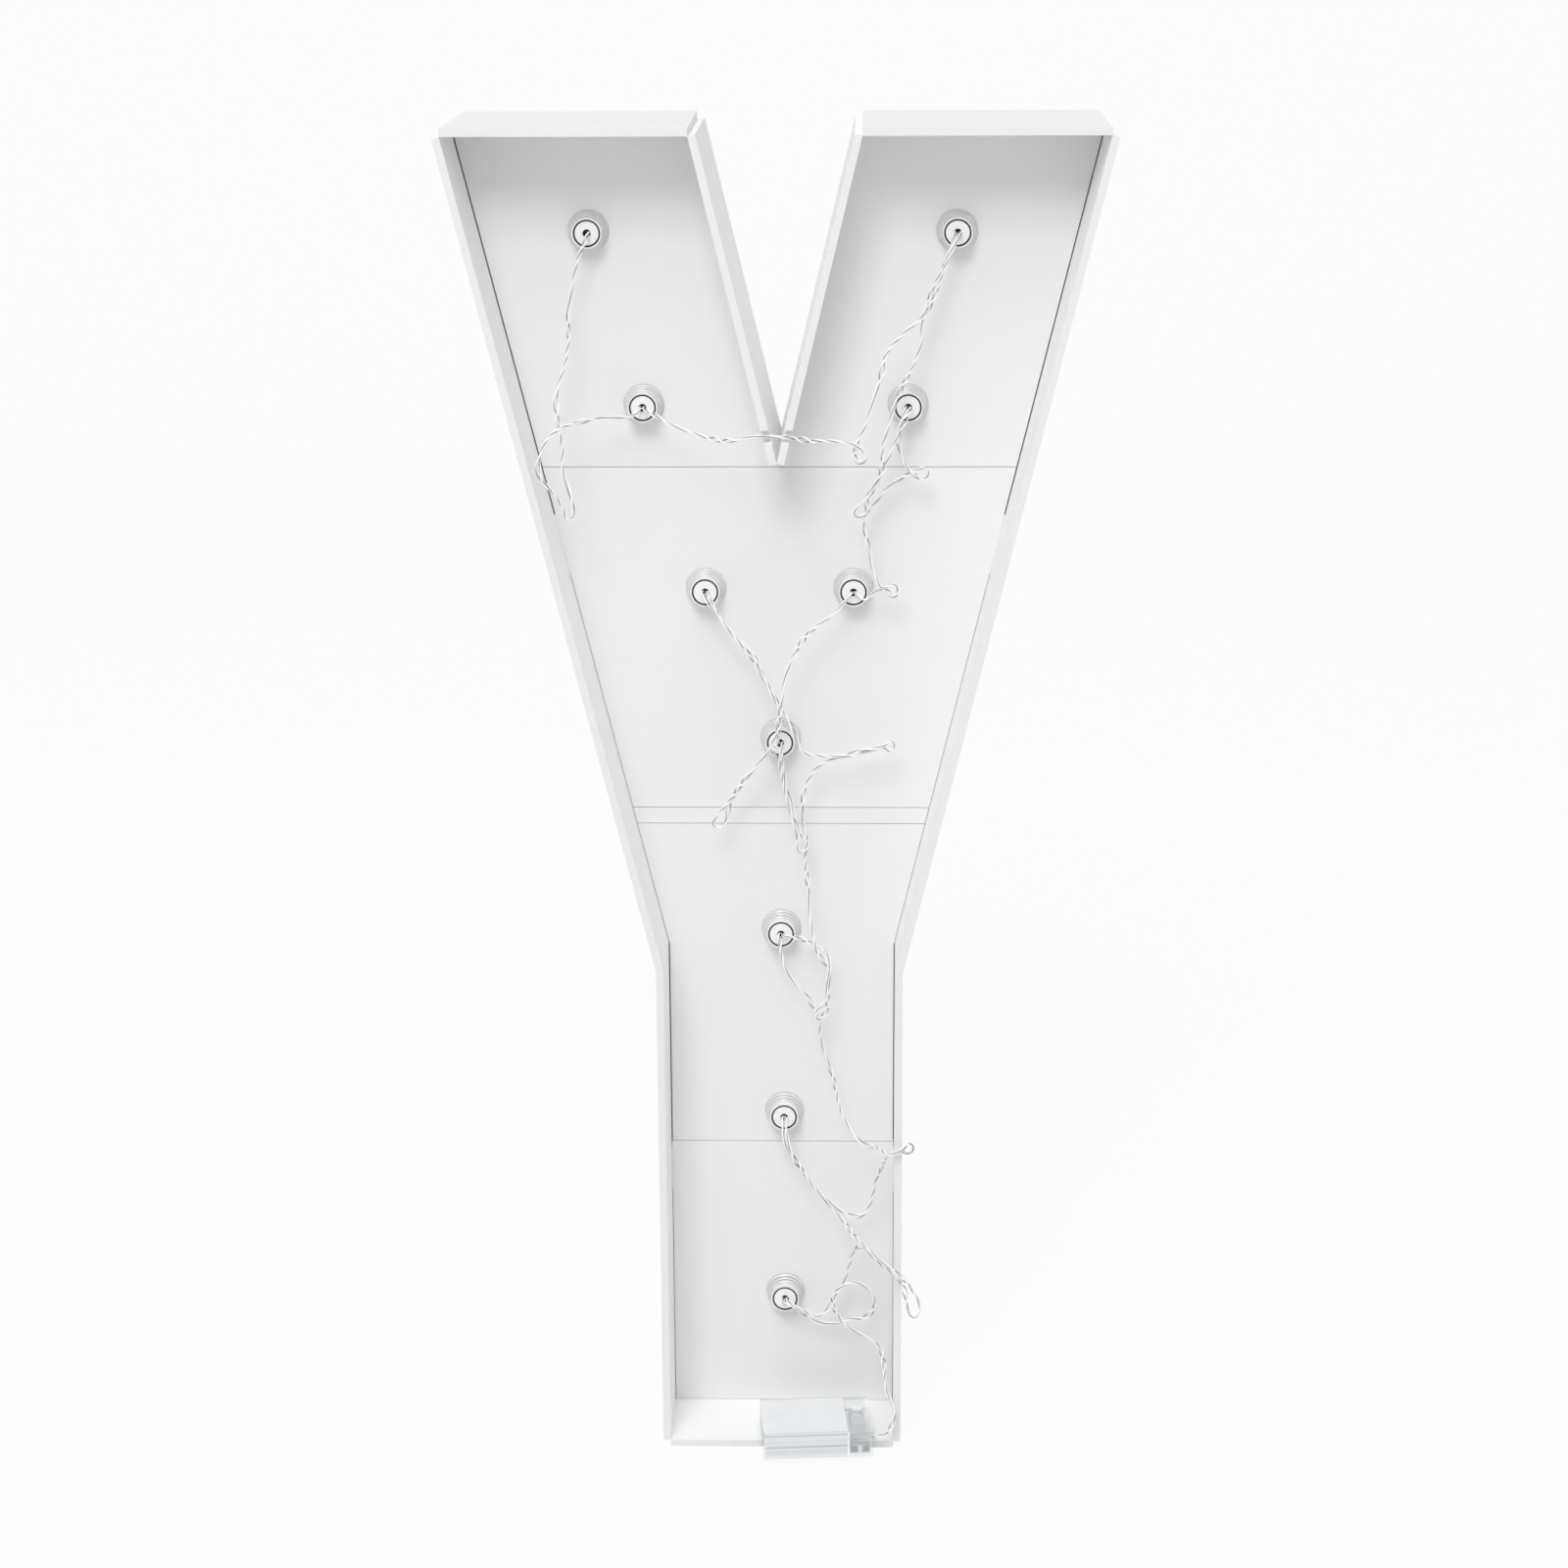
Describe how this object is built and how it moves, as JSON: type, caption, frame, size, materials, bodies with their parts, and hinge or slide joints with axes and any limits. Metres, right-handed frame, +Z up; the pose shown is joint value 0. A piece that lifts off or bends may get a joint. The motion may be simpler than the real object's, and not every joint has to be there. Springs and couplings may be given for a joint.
{
  "type": "light-up letter",
  "caption": "Free-standing light-up letter of foam board: globe bulbs in a front channel, wiring in an open back, and a battery box with sliding lid and switch.",
  "frame": {"origin": "middle of the underside of the bottom wall, in the middle plane of the face panels", "axes": "+X right and +Z up as seen from the open back, +Y towards the lit front"},
  "size_m": [0.432, 0.1591, 0.914],
  "materials": {
    "face_board": "matte",
    "wall_board": "matte",
    "bulb_plastic": "gloss",
    "plug_plastic": "satin",
    "lamp_lens": "gloss",
    "clear_plastic": "clear",
    "frosted_plastic": "frosted",
    "switch_plastic": "matte",
    "knob_plastic": "satin",
    "contact_metal": "satin",
    "spring_steel": "bright",
    "wire_jacket": "satin"
  },
  "bodies": {
    "letter": {"left_arm_panel": "face_board", "right_arm_panel": "face_board", "middle_panel": "face_board", "joining_strip": "face_board", "upper_stem_panel": "face_board", "lower_stem_panel": "face_board", "left_top_wall": "wall_board", "right_top_wall": "wall_board", "left_upper_wall": "wall_board", "right_upper_wall": "wall_board", "left_lower_wall": "wall_board", "right_lower_wall": "wall_board", "left_notch_wall": "wall_board", "right_notch_wall": "wall_board", "left_stem_wall": "wall_board", "right_stem_wall": "wall_board", "bottom_wall": "wall_board", "bulb_cover_1": "bulb_plastic", "bulb_cover_2": "bulb_plastic", "bulb_cover_3": "bulb_plastic", "bulb_cover_4": "bulb_plastic", "bulb_cover_5": "bulb_plastic", "bulb_cover_6": "bulb_plastic", "bulb_cover_7": "bulb_plastic", "bulb_cover_8": "bulb_plastic", "bulb_cover_9": "bulb_plastic", "bulb_cover_10": "bulb_plastic", "wire_plug_1": "plug_plastic", "wire_plug_2": "plug_plastic", "wire_plug_3": "plug_plastic", "wire_plug_4": "plug_plastic", "wire_plug_5": "plug_plastic", "wire_plug_6": "plug_plastic", "wire_plug_7": "plug_plastic", "wire_plug_8": "plug_plastic", "wire_plug_9": "plug_plastic", "wire_plug_10": "plug_plastic", "bulb_leds": "lamp_lens", "battery_tray": "clear_plastic", "switch_body": "switch_plastic", "contact_plates": "contact_metal", "contact_springs": "spring_steel", "wire_box_to_bulb_10": "wire_jacket", "wire_bulb_10_to_9": "wire_jacket", "wire_bulb_9_to_8": "wire_jacket", "wire_bulb_8_to_5": "wire_jacket", "wire_bulb_5_to_7": "wire_jacket", "wire_bulb_7_to_6": "wire_jacket", "wire_bulb_6_to_4": "wire_jacket", "wire_bulb_4_to_2": "wire_jacket", "wire_bulb_2_to_3": "wire_jacket", "wire_bulb_3_to_1": "wire_jacket"},
    "lid": {"battery_lid": "frosted_plastic"},
    "knob": {"switch_knob": "knob_plastic"}
  },
  "joints": [
    {"name": "lid_slide", "type": "slide", "parent": "letter", "child": "lid", "axis": [-0.9962, -0.0872, 0], "range_m": [0, 0.056]},
    {"name": "switch_slide", "type": "slide", "parent": "letter", "child": "knob", "axis": [0.0872, -0.9962, 0], "range_m": [0, 0.005]}
  ]
}
